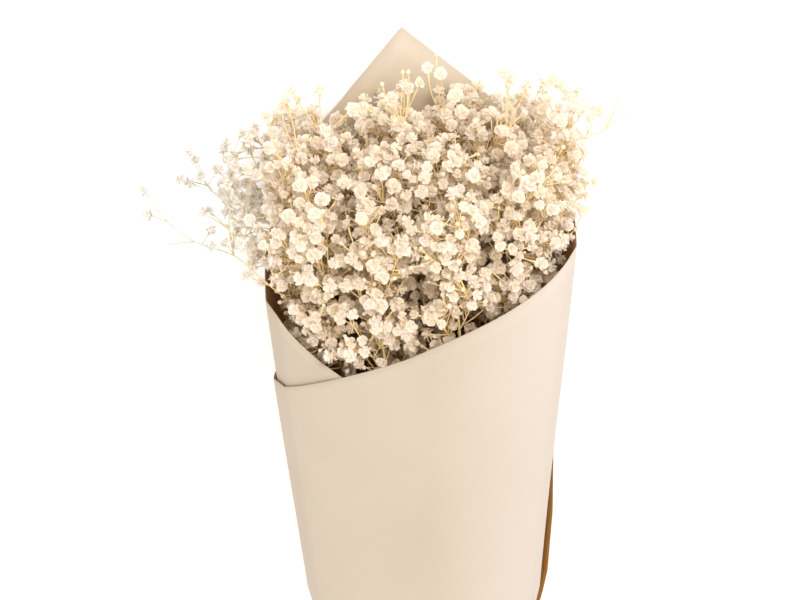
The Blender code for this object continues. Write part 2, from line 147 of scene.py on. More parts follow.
def sheet_point(turns, y, flare):
    """Point in the middle of the paper's thickness, with its free end standing off by the flare."""
    line = cone_line(turns)
    sideways = cone_line(turns + small_turn) - cone_line(turns - small_turn)
    cone_outward = line.cross(sideways).normalized()
    cone = Vector((cone_x, cone_start, cone_z)) + line * (y - cone_start)
    angle = corner_angle + math.tau * turns
    neck_outward = Vector((math.cos(angle), 0, math.sin(angle)))
    below = max(0.0, tie_y - y)
    ring_middle = Vector((neck.x, y, neck.z + skirt_rise * below))
    ring = ring_middle + neck_outward * (neck_radius + skirt_slope * below)
    share = clamped((neck_top_y - y) / (neck_top_y - tie_y)) ** neck_curve
    loose_end = max(0.0, (turns - flare_start) / flare_width)
    ripple = ripple_height * math.sin(ripples_round * math.tau * turns + ripple_twist * y)
    ripple *= math.sin(ripple_rate * y + ripple_start)
    offset = (layer_gap - gap_lost_at_neck * share) * turns
    offset += (1 - share) * (ripple + flare * loose_end ** 2)
    offset += share ** 2 * pleat_depth * math.cos(pleats * math.tau * turns)
    point = cone.lerp(ring, share) + cone_outward.lerp(neck_outward, share).normalized() * offset
    point.z = max(point.z, outer_rest if turns > outer_from else inner_rest)
    return point


left_columns, right_columns, columns_per_turn = 20, 40, 32
pressed_from, pressed_over = -0.040, 0.060      # along Y, the free end is pressed on more and more
# The golden inner face is painted shade: full on the free end, weaker under the flowers, and none near the
# corner where the light reaches
painted_shade_top, painted_shade_fade = 0.218, 0.080            # along Y, where the inner face's shade ends
painted_shade_most = 0.70
end_painted_shade_start, end_painted_shade_width = 1.14, 0.05   # in turns, the free end is in full shade inside


def rolled_sheet(name, finer, neck_rows, upper_rows, thickness, flare, hang=0.0, pressed=0.0):
    """The rolled sheet, with its place in the flat sheet as its UV map, and painted golden shade inside it.

    Its edge has the share of the dip that hang says, and its flare is less by pressed at the top.
    """
    columns, rows = (left_columns + right_columns) * finer, 1 + neck_rows + upper_rows
    bpy.ops.object.select_all(action="DESELECT")
    bpy.ops.mesh.primitive_grid_add(x_subdivisions=columns, y_subdivisions=rows, size=1, calc_uvs=True)
    sheet = bpy.context.object
    sheet.name = name
    flat, painted_shades = [], []
    for vertex in sheet.data.vertices:
        column = round((vertex.co.x + 0.5) * columns) / finer - left_columns
        turns = column / columns_per_turn
        row = round((vertex.co.y + 0.5) * rows)
        if row < 2:
            y = (lower_y, tie_y)[row]
        elif row <= 1 + neck_rows:
            y = tie_y + (neck_top_y - tie_y) * (row - 1) / neck_rows
        else:
            edge = edge_y(turns) - hang * edge_dip(turns)
            y = neck_top_y + (edge - neck_top_y) * (row - 1 - neck_rows) / upper_rows
        vertex.co = sheet_point(turns, y, flare - pressed * clamped((y - pressed_from) / pressed_over))
        # Painted shade on the inner face: less towards the corner, where the light reaches, and full on the
        # free end
        away_from_corner = clamped((painted_shade_top - y) / painted_shade_fade)
        free_end = clamped((turns - end_painted_shade_start) / end_painted_shade_width)
        painted_shades.append(max(painted_shade_most * away_from_corner, free_end))
        reach = cone_line(turns).length * (y - cone_start)
        flat.append((reach * math.sin(turns * full_turn), reach * math.cos(turns * full_turn)))
    uv = sheet.data.uv_layers.active.data
    for loop in sheet.data.loops:
        uv[loop.index].uv = flat[loop.vertex_index]
    solid = sheet.modifiers.new("thickness", "SOLIDIFY")
    solid.thickness = thickness
    solid.offset = 0
    bpy.ops.object.modifier_apply(modifier=solid.name)
    # The painted shade goes on the inner face only
    painted_shade = sheet.data.attributes.new("painted_shade", "FLOAT", "POINT")
    for vertex in sheet.data.vertices:
        number = vertex.index % len(painted_shades)
        other = sheet.data.vertices[(vertex.index + len(painted_shades)) % (2 * len(painted_shades))]
        length = vertex.co.y - cone_start
        middle = Vector((cone_x + cone_lean * length, vertex.co.y, cone_z + shoulder_height * length))
        is_inside = (vertex.co - middle).length < (other.co - middle).length
        painted_shade.data[vertex.index].value = painted_shades[number] if is_inside else 0.0
    return sheet


# The coarse sheet is the one that the sprays were grown in, in the frame. It keeps them off the paper
coarse = rolled_sheet("coarse_sheet", finer=1, neck_rows=3, upper_rows=3, thickness=0.0007, flare=0.004)
shell = BVHTree.FromObject(coarse, bpy.context.evaluated_depsgraph_get())
bpy.data.objects.remove(coarse, do_unlink=True)


class Socket:
    """Output of a shader node, with sums that add the nodes they need."""

    def __init__(self, tree, output=None):
        self.tree = tree
        self.output = output

    def node(self, kind, settings, inputs, output=0):
        """New node with its settings, and with inputs that are values or other sockets."""
        made = self.tree.nodes.new(kind)
        for name, value in settings.items():
            setattr(made, name, value)
        for name, value in inputs.items():
            if isinstance(value, Socket):
                self.tree.links.new(value.output, made.inputs[name])
            else:
                made.inputs[name].default_value = value
        return Socket(self.tree, made.outputs[output])

    def sum(self, operation, other):
        return self.node("ShaderNodeMath", {"operation": operation}, {0: self, 1: other})

    def __add__(self, other):
        return self.sum("ADD", other)

    def __sub__(self, other):
        return self.sum("SUBTRACT", other)

    def __rsub__(self, other):
        return self.node("ShaderNodeMath", {"operation": "SUBTRACT"}, {0: other, 1: self})

    def __mul__(self, other):
        return self.sum("MULTIPLY", other)

    __radd__, __rmul__ = __add__, __mul__

    def blend(self, one, other):
        """Colour between two others."""
        return self.node("ShaderNodeMix", {"data_type": "RGBA"}, {0: self, 6: one, 7: other}, 2)

    def noise(self, scale, detail):
        """Soft random pattern over the places that this socket gives."""
        inputs = {"Vector": self, "Scale": scale, "Detail": detail}
        return self.node("ShaderNodeTexNoise", {}, inputs, "Fac")

    def bump(self, strength, distance):
        """Small relief with this socket as its height."""
        inputs = {"Height": self, "Strength": strength, "Distance": distance}
        return self.node("ShaderNodeBump", {}, inputs)

    def rising(self, start, end):
        """0 where this socket is at the start, 1 where it is at the end."""
        return self.node("ShaderNodeMapRange", {}, {"Value": self, "From Min": start, "From Max": end})


def new_material(name):
    """Material with an empty node tree, and the socket that starts its sums."""
    made = bpy.data.materials.new(name)
    made.use_nodes = True
    made.node_tree.nodes.clear()
    return made, Socket(made.node_tree)


def finish_material(start, surface):
    last = start.tree.nodes.new("ShaderNodeOutputMaterial")
    start.tree.links.new(surface.output, last.inputs["Surface"])


def parts_of(socket, kind, name):
    """The three parts of a colour or of a place, each as a socket."""
    split = socket.node(kind, {}, {name: socket}).output.node
    return [Socket(socket.tree, split.outputs[number]) for number in range(3)]


# The paper is pale brown with long fibres and grain. Painted light makes it lighter on the right and
# near its corner, and painted golden shade darkens it inside. A little light comes through it
paper = rolled_sheet("paper_sheet", finer=3, neck_rows=14, upper_rows=20, thickness=0.0004, flare=0.0066,
                     hang=1.0, pressed=0.0045)
paper.data.shade_smooth()
paper_finish, start = new_material("kraft_paper")
flat = start.node("ShaderNodeTexCoord", {}, {}, "UV")
cloud = flat.noise(9.0, 3.0)
fibre = start.node("ShaderNodeMapping", {}, {"Vector": flat, "Scale": (1.0, 0.16, 1.0)}).noise(2600.0, 4.0)
grain = flat.noise(900.0, 5.0)
crumple = flat.noise(22.0, 2.0)
tone = cloud * 0.55 + fibre * 0.25 + grain * 0.20
colour = tone.node("ShaderNodeValToRGB", {}, {"Fac": tone})
ramp = colour.output.node.color_ramp
ramp.elements[0].position, ramp.elements[1].position = 0.32, 0.68
ramp.elements[0].color = (0.480, 0.400, 0.306, 1)
ramp.elements[1].color = (0.550, 0.475, 0.388, 1)
place = start.node("ShaderNodeTexCoord", {}, {}, "Object")
x, y, _ = parts_of(place, "ShaderNodeSeparateXYZ", "Vector")
# Painted light: the paper turns lighter on the right, where the key lamp falls, and near its corner, where
# the light reaches past the flowers
colour = x.rising(0.0, 0.080).blend(colour, (0.655, 0.574, 0.510, 1))
colour = y.rising(0.120, 0.185).blend(colour, (0.650, 0.560, 0.445, 1))
# Painted shade: the inner face goes golden ochre where the flowers shade it, and deep ochre inside the free
# end, in the gap between the layers
painted_shade = start.node("ShaderNodeAttribute", {"attribute_name": "painted_shade"}, {}, "Fac")
colour = painted_shade.blend(colour, (0.360, 0.170, 0.035, 1))
relief = fibre * 0.35 + grain * 0.45 + crumple * 8.0
opaque = start.node("ShaderNodeBsdfPrincipled", {}, {
    "Base Color": colour, "Roughness": grain * 0.20 + 0.66, "Normal": relief.bump(0.35, 0.00022),
    "Specular IOR Level": 0.25})
through = start.node("ShaderNodeBsdfTranslucent", {}, {"Color": (0.72, 0.50, 0.25, 1)})
finish_material(start, start.node("ShaderNodeMixShader", {}, {0: 0.18, 1: opaque, 2: through}))
paper.data.materials.append(paper_finish)
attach(paper, "root")
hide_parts("paper_wrap")


# Sprays. Nineteen cut stems of gypsophila, dried and bleached, fan out from the tied neck. Each is one
# grown piece of a stem, its twigs, and the stalks that carry its double blooms and buds. The lines
# follow the rule that placed them in the frame, with the same draws

focus = Vector((0.0046, -0.320, 0.0130))
fan_start, fan_reach = 0.170, 0.420      # distances along Y from the focus
fan_middle = Vector((-0.007, focus.y + fan_reach, 0.052))
fan_half = Vector((0.066, 0, 0.041))
rings = ((6, 0.52, 0.0037, 0.0), (12, 1.0, 0.00722, 15.0))

# Place of each spray in the fan, from -1 to 1, and of its stem in the neck, in metres
sites = [((0.0, 0.0), (0.0, 0.0))]
for count, size, radius, first in rings:
    for number in range(count):
        angle = math.radians(first + 360 * number / count)
        across, up = math.cos(angle), math.sin(angle)
        sites.append(((size * across, size * up), (radius * across, radius * up)))

# Sprigs that stand clear of the mass: the bends of each stalk, and whether it ends in a bloom
left_sprigs = (
    (((-0.0885, 0.1080, 0.079), (-0.1056, 0.1236, 0.081), (-0.1262, 0.1325, 0.086),
      (-0.1400, 0.1440, 0.088), (-0.1520, 0.1610, 0.089)), True),
    (((-0.1400, 0.1440, 0.088), (-0.1503, 0.1470, 0.084)), True),
    (((-0.1262, 0.1325, 0.086), (-0.1405, 0.1308, 0.086)), False),
    (((-0.1056, 0.1236, 0.081), (-0.1078, 0.1390, 0.083), (-0.1067, 0.1515, 0.084),
      (-0.1073, 0.1770, 0.085)), True),
    (((-0.1078, 0.1390, 0.083), (-0.1210, 0.1490, 0.088)), True),
    (((-0.1067, 0.1515, 0.084), (-0.1188, 0.1629, 0.085), (-0.1276, 0.1805, 0.086)), True),
    (((-0.1188, 0.1629, 0.085), (-0.1331, 0.1668, 0.086)), True),
)
right_sprigs = (
    (((0.0800, 0.1800, 0.070), (0.0930, 0.1905, 0.071), (0.1051, 0.2007, 0.071)), False),
    (((0.0930, 0.1905, 0.071), (0.0996, 0.2075, 0.072)), False),
    (((0.0800, 0.1800, 0.070), (0.0886, 0.2013, 0.074)), True),
)
sprigs = {12: (0.082, left_sprigs), 7: (0.125, right_sprigs)}   # with the place of the root along Y


def fan_point(site, distance):
    """Point on a spray's line at a distance along Y from the focus."""
    target = fan_middle + Vector((site[0] * fan_half.x, 0, site[1] * fan_half.z))
    return focus + (target - focus) * (distance / fan_reach)


def wedge_planes(number):
    """Outward normals, through the focus, of the planes that part a spray from its neighbours."""
    own = sites[number][0]
    planes = []
    for other, _ in sites[:number] + sites[number + 1:]:
        across, up = other[0] - own[0], other[1] - own[1]
        middle = ((own[0] + other[0]) * across + (own[1] + other[1]) * up) / 2
        drift = across * (focus.x - fan_middle.x) / fan_half.x
        drift += up * (focus.z - fan_middle.z) / fan_half.z
        planes.append(Vector((across * fan_reach / fan_half.x, drift - middle,
                              up * fan_reach / fan_half.z)).normalized())
    return planes


back_range = (0.405, 0.524)      # nearest and furthest heads from the focus, at the back
front_range = (0.375, 0.488)     # and at the front of the bunch
range_curve = 2.2
left_slope, right_slope = 0.05, 0.14
rounding, rounding_x = 8, -0.062      # the bunch's top rounds off on the left


def head_range(point):
    """Nearest and furthest distance of a head from the focus, towards a point."""
    seen = focus + (point - focus) * fan_reach / (point.y - focus.y)
    front = clamped(((seen.z - fan_middle.z) / fan_half.z + 1) / 2) ** range_curve
    lowest, highest = (back + (near - back) * front for back, near in zip(back_range, front_range))
    highest += seen.x * (right_slope if seen.x > 0 else left_slope)
    return lowest, highest - rounding * max(0.0, rounding_x - seen.x) ** 2


def cone_place(point):
    """Share of the cone's section at a point: 0 in its middle and 1 in the line of the paper."""
    length = point.y - cone_start
    x = (point.x - cone_x) / length - cone_lean
    z = point.z / length - shoulder_height
    rise, power = section_curve(z)
    return (abs(x / half_width) ** power + abs(z / rise) ** power) ** (1 / power)


side_from = 0.6                  # in half widths of the paper
front_spill, right_spill = 1.10, 1.00
left_spill = (1.00, 1.45)        # grows from the paper's rim on, at this place along Y and rate
left_spill_y, left_spill_rate = 0.097, 6


def spills(point):
    """True where a point lies too far outside the line of the paper."""
    x = (point.x - cone_x) / (point.y - cone_start) - cone_lean
    if x < -side_from * half_width:
        grown = left_spill[0] + left_spill_rate * (point.y - left_spill_y)
        return cone_place(point) > min(left_spill[1], max(left_spill[0], grown))
    return cone_place(point) > (right_spill if x > side_from * half_width else front_spill)


def to_line(point, line):
    """Distance from a point to a straight twig."""
    way = line[1] - line[0]
    share = clamped((point - line[0]).dot(way) / way.length_squared)
    return (point - line[0] - way * share).length


def between_lines(one, other):
    """Smallest distance between two straight twigs, measured from points along the first."""
    return min(to_line(one[0].lerp(one[1], step / 8), other) for step in range(9))


def random_way(draw):
    return Vector((draw.uniform(-1, 1), draw.uniform(-1, 1), draw.uniform(-1, 1)))


growth_seed = 100
cut_end_y, cut_end_scatter = -0.372, 0.008
stem_knots = (0.260, 0.330, 0.390)      # distances from the focus at which the stem bends
stem_top_drop = 0.048                   # from the furthest heads down to the end of the stem
sway = 0.03                             # of the length above the fan's start
lowest_stem = 0.0085
twig_count, tries = 6, 300
twig_spread = (0.034, 0.008, 0.022)
twig_angle = math.radians(30)
shortest_twig = 0.025
below_stem_end = (0.002, 0.030)
twig_radius, side_stalk_radius = 0.0005, 0.0004
twig_room = 2.2                         # between two twigs, in twig radii
side_heads = (2, 3)
side_roots = (0.30, 0.80)               # along the twig
side_stalk_length = (0.013, 0.024)
side_bloom_share = 0.65
bloom_radius, bud_radius = (0.0050, 0.0067), (0.0022, 0.0030)
sprig_bloom_radius = 0.0038
touch_gap = 0.0003
paper_room, paper_room_from = 0.001, 0.75      # between a head and the paper, from this share of a stalk
floor_room = 0.002


class Growth:
    """Lines of one spray: its stem, and its stalks with their heads."""

    def __init__(self, number):
        self.site, place = sites[number]
        self.draw = random.Random(growth_seed + number)
        self.planes = wedge_planes(number)
        self.stalks = []
        self.heads = []
        self.twigs = []
        cut = cut_end_y + self.draw.uniform(-1, 1) * cut_end_scatter
        tied = neck + Vector((place[0], 0, place[1]))
        self.stem = [Vector((tied.x, cut, tied.z)), tied, fan_point(self.site, fan_start)]
        top = head_range(fan_point(self.site, fan_reach))[1] - stem_top_drop
        for distance in (*stem_knots, top):
            bend = sway * (distance - fan_start)
            shift = Vector((self.draw.uniform(-1, 1), 0, self.draw.uniform(-1, 1))) * bend
            point = fan_point(self.site, distance) + shift
            point.z = max(point.z, lowest_stem)
            self.stem.append(point)
        if number in sprigs:
            self.add_sprigs(*sprigs[number])
        lowest, highest = head_range(fan_point(self.site, fan_reach))
        for step in reversed(range(twig_count)):
            self.add_twig(lowest + (highest - lowest) * (step + 0.5) / twig_count)

    def stem_at(self, y):
        for before, after in zip(self.stem, self.stem[1:]):
            if y <= after.y:
                return before.lerp(after, (y - before.y) / (after.y - before.y))
        return self.stem[-1].copy()

    def clear_of_paper(self, root, tip, size):
        for step in range(9):
            room = size + paper_room if step / 8 > paper_room_from else 2 * twig_radius
            if shell.find_nearest(root.lerp(tip, step / 8), room)[0] is not None:
                return False
        way = tip - root
        return shell.ray_cast(root, way.normalized(), way.length)[0] is None

    def has_room(self, root, tip, size, parent=None):
        """True where a straight stalk with a head at its tip touches nothing but its parent."""
        lowest, highest = head_range(tip)
        if not lowest < (tip - focus).length < highest or spills(tip) or tip.z < size + floor_room:
            return False
        if any(plane.dot(tip - focus) > -size - touch_gap for plane in self.planes):
            return False
        if any((tip - other).length < size + other_size for other, other_size in self.heads):
            return False
        others = [twig for twig in self.twigs if twig is not parent]
        if any(between_lines((root, tip), twig) < twig_room * twig_radius for twig in others):
            return False
        others.extend(zip(self.stem, self.stem[1:]))
        if any(to_line(tip, line) < size + twig_radius for line in others):
            return False
        if any(to_line(head, (root, tip)) < head_size + twig_radius for head, head_size in self.heads):
            return False
        return self.clear_of_paper(root, tip, size)

    def grow(self, points, size, kind, radius):
        self.stalks.append((points, size, kind, radius))
        self.heads.append((points[-1], size))
        self.twigs.extend(zip(points, points[1:]))
        return self.twigs[-1]

    def add_sprigs(self, root_y, lines):
        root = self.stem_at(root_y)
        for line, has_bloom in lines:
            points = [Vector(bend) for bend in line]
            if root:
                points.insert(0, root)
                root = None
            size, kind = (sprig_bloom_radius, "single") if has_bloom else (0.0, "bare")
            self.grow(points, size, kind, twig_radius)

    def add_twig(self, level):
        """Twig from the stem to a bloom about level away from the focus, with more heads on it."""
        draw = self.draw
        for _ in range(tries):
            size = draw.uniform(*bloom_radius)
            spread = Vector([draw.uniform(-1, 1) * reach for reach in twig_spread])
            tip = fan_point(self.site, level) + spread
            sideways = (tip - fan_point(self.site, tip.y - focus.y)).length
            back = max(shortest_twig, sideways / math.tan(twig_angle))
            highest_root = self.stem[-1].y - draw.uniform(*below_stem_end)
            root = self.stem_at(min(highest_root, tip.y - back))
            if self.has_room(root, tip, size):
                twig = self.grow((root, tip), size, "cluster", twig_radius)
                for _ in range(draw.choice(side_heads)):
                    self.add_side_head(twig)
                return

    def add_side_head(self, twig):
        """Shorter stalk from the middle of a twig, with its own bloom or bud."""
        draw = self.draw
        axis = (twig[1] - twig[0]).normalized()
        is_bloom = draw.random() < side_bloom_share
        for _ in range(tries):
            size = draw.uniform(*(bloom_radius if is_bloom else bud_radius))
            start = twig[0].lerp(twig[1], draw.uniform(*side_roots))
            across = axis.cross(random_way(draw))
            way = (axis + across.normalized()).normalized()
            end = start + way * draw.uniform(*side_stalk_length)
            if self.has_room(start, end, size, twig):
                self.grow((start, end), size, "cluster" if is_bloom else "buds", side_stalk_radius)
                return


class Pile:
    """Points, faces and colours of a piece that is made of many closed shapes."""

    def __init__(self):
        self.points = []
        self.faces = []
        self.tones = []

    def tube(self, line, radii, sides, tone=0.5):
        """Closed round stalk along a line of points, with its radius at each."""
        first = len(self.points)
        for number, point in enumerate(line):
            before, after = line[max(0, number - 1)], line[min(len(line) - 1, number + 1)]
            turn = (after - before).to_track_quat("Z", "Y")
            for side in range(sides):
                angle = math.tau * side / sides
                outward = turn @ Vector((math.cos(angle), math.sin(angle), 0))
                self.points.append(point + outward * radii[number])
        for number in range(len(line) - 1):
            low = first + number * sides
            for side in range(sides):
                after = (side + 1) % sides
                self.faces.append((low + side, low + after, low + sides + after, low + sides + side))
        self.faces.append(tuple(range(first + sides - 1, first - 1, -1)))
        last = first + (len(line) - 1) * sides
        self.faces.append(tuple(range(last, last + sides)))
        self.tones.extend([(tone, tone, 0.0)] * (len(self.points) - first))

    def shape(self, shape, centre, axis, size, spin, tint_and_shade, grey):
        """Copy of a shape, spun round its axis and placed on a stalk."""
        points, faces, tones = shape
        first = len(self.points)
        turn = axis.to_track_quat("Z", "Y")
        along, aside = math.cos(spin), math.sin(spin)
        for x, y, z in points:
            spun = Vector((x * along - y * aside, x * aside + y * along, z))
            self.points.append(centre + turn @ spun * size)
        self.faces.extend(tuple(first + corner for corner in face) for face in faces)
        self.tones.extend((tone, tint_and_shade, grey) for tone in tones)

    def piece(self, name, finish, smooth):
        mesh = bpy.data.meshes.new(name)
        mesh.from_pydata(self.points, [], self.faces)
        tones = mesh.color_attributes.new("tones", "FLOAT_COLOR", "POINT")
        for entry, tone in zip(tones.data, self.tones):
            entry.color = (*tone, 1.0)
        if smooth:
            mesh.shade_smooth()
        mesh.materials.append(finish)
        made = bpy.data.objects.new(name, mesh)
        bpy.context.scene.collection.objects.link(made)
        return made


# Double bloom: a core with ten ruffled petals round it, each a closed leaf of six faces. The inner
# petals stand up and the outer ones lie back. Sizes are shares of the bloom's radius
core_radius, core_foot, core_top = 0.48, -0.42, 0.62
core_tones = [0.55, 0.55, 0.55, 0.55, 0.2, 0.9]
petal_count = 10
petal_turn, petal_stray = 2.4, 0.3            # radians from one petal to the next
lean_start, lean_more, lean_curve, lean_stray = 20, 112, 0.8, 9      # in degrees from the axis
petal_twist = 0.5
petal_length, petal_half_width = (0.86, 1.06), (0.46, 0.60)
petal_foot, petal_shoulder = 0.10, 0.62
tip_reach, tip_width, tip_curl = (0.94, 1.04), 0.62, (-0.16, 0.22)
petal_tones = (0.30, 0.85, 1.0, 1.0, 0.85)
petal_depth = 0.16
leaf_faces = ((0, 1, 2), (0, 2, 3), (0, 3, 4), (1, 4, 3), (1, 3, 2), (1, 0, 4))


def bloom_shape(seed):
    draw = random.Random(seed)
    points = [(core_radius, 0, 0), (0, core_radius, 0), (-core_radius, 0, 0), (0, -core_radius, 0),
              (0, 0, core_foot), (0, 0, core_top)]
    faces = [(5, n, (n + 1) % 4) for n in range(4)] + [(4, (n + 1) % 4, n) for n in range(4)]
    tones = list(core_tones)
    for number in range(petal_count):
        angle = petal_turn * number + draw.uniform(-petal_stray, petal_stray)
        leaning = lean_start + lean_more * (number / (petal_count - 1)) ** lean_curve
        lean = math.radians(leaning + draw.uniform(-lean_stray, lean_stray))
        out = Vector((math.cos(angle) * math.sin(lean), math.sin(angle) * math.sin(lean), math.cos(lean)))
        side = Vector((-math.sin(angle), math.cos(angle), 0))
        side = (side + out.cross(side) * draw.uniform(-petal_twist, petal_twist)).normalized()
        back = out.cross(side) * (-1 if out.cross(side).z > 0 else 1)
        length = draw.uniform(*petal_length)
        wide = draw.uniform(*petal_half_width)
        tips = [out * length * draw.uniform(*tip_reach) + side * wide * tip_width * hand
                + back * draw.uniform(*tip_curl) for hand in (1, -1)]
        shoulder = out * length * petal_shoulder
        leaf = [out * petal_foot, shoulder + side * wide, *tips, shoulder - side * wide]
        middle = sum(leaf, Vector()) / 5 + back * petal_depth
        first = len(points)
        points.extend(tuple(point) for point in leaf)
        tones.extend(petal_tones)
        for face in leaf_faces:
            a, b, c = (leaf[corner] for corner in face)
            turned_in = (b - a).cross(c - a).dot((a + b + c) / 3 - middle) < 0
            faces.append(tuple(first + corner for corner in (face[::-1] if turned_in else face)))
    return points, faces, tones


# Bud: a closed egg of two rings of five points, with heights and radii as shares of the bud's radius
bud_foot, bud_top = -0.9, 1.15
bud_rings = ((-0.25, 0.92, 0.0), (0.55, 0.66, 0.5))      # with how far each is turned, in points
bud_tones = [0.0] + [0.25] * 5 + [0.5] * 5 + [0.7]


def bud_shape():
    points, faces = [(0.0, 0.0, bud_foot)], []
    for height, radius, turned in bud_rings:
        for number in range(5):
            angle = math.tau * (number + turned) / 5
            points.append((radius * math.cos(angle), radius * math.sin(angle), height))
    points.append((0.0, 0.0, bud_top))
    for number in range(5):
        after = (number + 1) % 5
        faces.append((0, 1 + after, 1 + number))
        faces.append((1 + number, 1 + after, 6 + number))
        faces.append((1 + after, 6 + after, 6 + number))
        faces.append((6 + number, 6 + after, 11))
    return points, faces, bud_tones


blooms = [bloom_shape(seed) for seed in range(12)]
bud = bud_shape()

# Petals are thin, dry and bleached: cream at their tips and tan at their roots. Heads deep in the mass
# get painted golden shade, and those far out on the left are greyer
petal_finish, start = new_material("bleached_petal")
tones = start.node("ShaderNodeVertexColor", {"layer_name": "tones"}, {})
tone, tint_and_shade, grey = parts_of(tones, "ShaderNodeSeparateColor", "Color")
mottle = start.node("ShaderNodeTexCoord", {}, {}, "Object").noise(700.0, 3.0)
tips = tint_and_shade.blend((0.925, 0.900, 0.900, 1), (0.900, 0.790, 0.640, 1))
roots = tint_and_shade.blend((0.880, 0.750, 0.580, 1), (0.810, 0.590, 0.300, 1))
petal = (tone * 0.8 + mottle * 0.45 - 0.1).blend(roots, tips)
petal = grey.blend(petal, (tone * 0.9).blend((0.700, 0.650, 0.570, 1), (0.760, 0.735, 0.705, 1)))
opaque = start.node("ShaderNodeBsdfPrincipled", {}, {
    "Base Color": petal, "Roughness": mottle * 0.2 + 0.6, "Normal": mottle.bump(0.5, 0.0003),
    "Specular IOR Level": 0.2})
through = start.node("ShaderNodeBsdfTranslucent", {}, {"Color": (0.97, 0.92, 0.83, 1)})
share = 0.60 - grey * 0.34
finish_material(start, start.node("ShaderNodeMixShader", {}, {0: share, 1: opaque, 2: through}))

# Stalks are golden straw with paler streaks, and greyer far out on the left
stalk_finish, start = new_material("dry_stalk")
place = start.node("ShaderNodeTexCoord", {}, {}, "Object")
streak = start.node("ShaderNodeMapping", {}, {"Vector": place, "Scale": (1.0, 0.12, 1.0)}).noise(420.0, 3.0)
patch = place.noise(45.0, 2.0)
straw = (patch * 1.6 - 0.3).blend((0.720, 0.480, 0.170, 1), (0.830, 0.610, 0.280, 1))
straw = (streak * 0.8 - 0.1).blend(straw, (0.900, 0.750, 0.460, 1))
x, _, _ = parts_of(place, "ShaderNodeSeparateXYZ", "Vector")
straw = x.rising(-0.080, -0.115).blend(straw, (0.500, 0.460, 0.330, 1))
finish_material(start, start.node("ShaderNodeBsdfPrincipled", {}, {
    "Base Color": straw, "Roughness": streak * 0.2 + 0.5, "Normal": streak.bump(0.4, 0.0003),
    "Specular IOR Level": 0.3}))


def smooth_line(points, pieces):
    """Line through the points with rounded bends."""
    ends = [points[0] * 2 - points[1], *points, points[-1] * 2 - points[-2]]
    line = []
    for number in range(1, len(ends) - 2):
        p, q, r, s = ends[number - 1:number + 3]
        for piece in range(pieces):
            t = piece / pieces
            line.append((q * 2 + (r - p) * t + (p * 2 - q * 5 + r * 4 - s) * t ** 2
                         + (q * 3 - p - r * 3 + s) * t ** 3) / 2)
    return [*line, points[-1]]


least_bow = 0.3      # as a share of the bow that is asked for


def bowed(start, end, draw, bow):
    """Slightly bent line between two points."""
    way = end - start
    aside = way.cross(random_way(draw)).normalized()
    aside *= way.length * draw.uniform(least_bow, 1.0) * bow
    return [start.lerp(end, t) + aside * math.sin(math.pi * t) for t in (0, 0.25, 0.5, 0.75, 1)]


# Heads of all sprays, by the small cube of space that they are in
crowd = {}
cube_size = 0.012
closest = 0.72      # distance of two heads, as a share of the sum of their radii


def cube(place):
    return tuple(math.floor(axis / cube_size) for axis in place)


def is_crowded(place, size):
    """True where a head would press into another one by more than its outer petals."""
    for key in itertools.product(*((axis - 1, axis, axis + 1) for axis in cube(place))):
        for other, other_size in crowd.get(key, ()):
            if (place - other).length < closest * (size + other_size):
                return True
    return False


dressing_seed = 500
grey_from, grey_over = -0.078, 0.036      # along X, heads grow greyer to the left
# A head's tint is partly drawn at random and partly painted golden shade, by how deep it lies in the mass
tint_draw, deep_shade_tint = 0.4, 0.6
deep_below, deep_inside = 0.065, 0.35     # below the tops in metres, and as a share of the section
head_turn = 0.35                          # how far a bloom turns off its stalk's line
fine_radii = (0.00032, 0.00027, 0.00027, 0.00031)
calyx_radius, calyx_share = 0.0008, 0.30
fine_end, bud_end, bloom_end = 0.45, 0.5, 0.4     # below the head's middle, in its radii
stalk_foot, stalk_taper = 0.95, 0.35              # as shares of the stalk's radius in the frame
stalk_bow, fine_bow, outline_bow = 0.035, 0.08, 0.12
bud_share = (0.55, 0.75)                          # of the bud's radius in the frame
cluster_counts = (3, 3, 4)
cluster_fork = (0.002, 0.006)                     # below the foot of the bloom in the frame
cluster_radius = (0.54, 0.80)                     # these are in that bloom's radii
cluster_ring, cluster_height, cluster_top = 0.62, (-0.35, 0.30), 0.75
extra_bloom_share = 0.78
extra_bloom, extra_bud = (0.0025, 0.0046), (0.0010, 0.0017)
extra_roots, extra_length, extra_forward = (0.15, 0.92), (0.004, 0.016), (0.5, 1.3)
shortest_line = 0.008                     # of the twigs that an extra head grows from
extra_below, extra_above = 0.018, 0.002   # past the range of the heads in the frame
extra_overlap = 0.004                     # into the next spray's wedge
extra_floor_room, extra_paper_room = 0.001, 0.0005
thin_far_left, thin_left = -0.088, -0.040
far_left_refused, left_refused = 0.88, 0.6


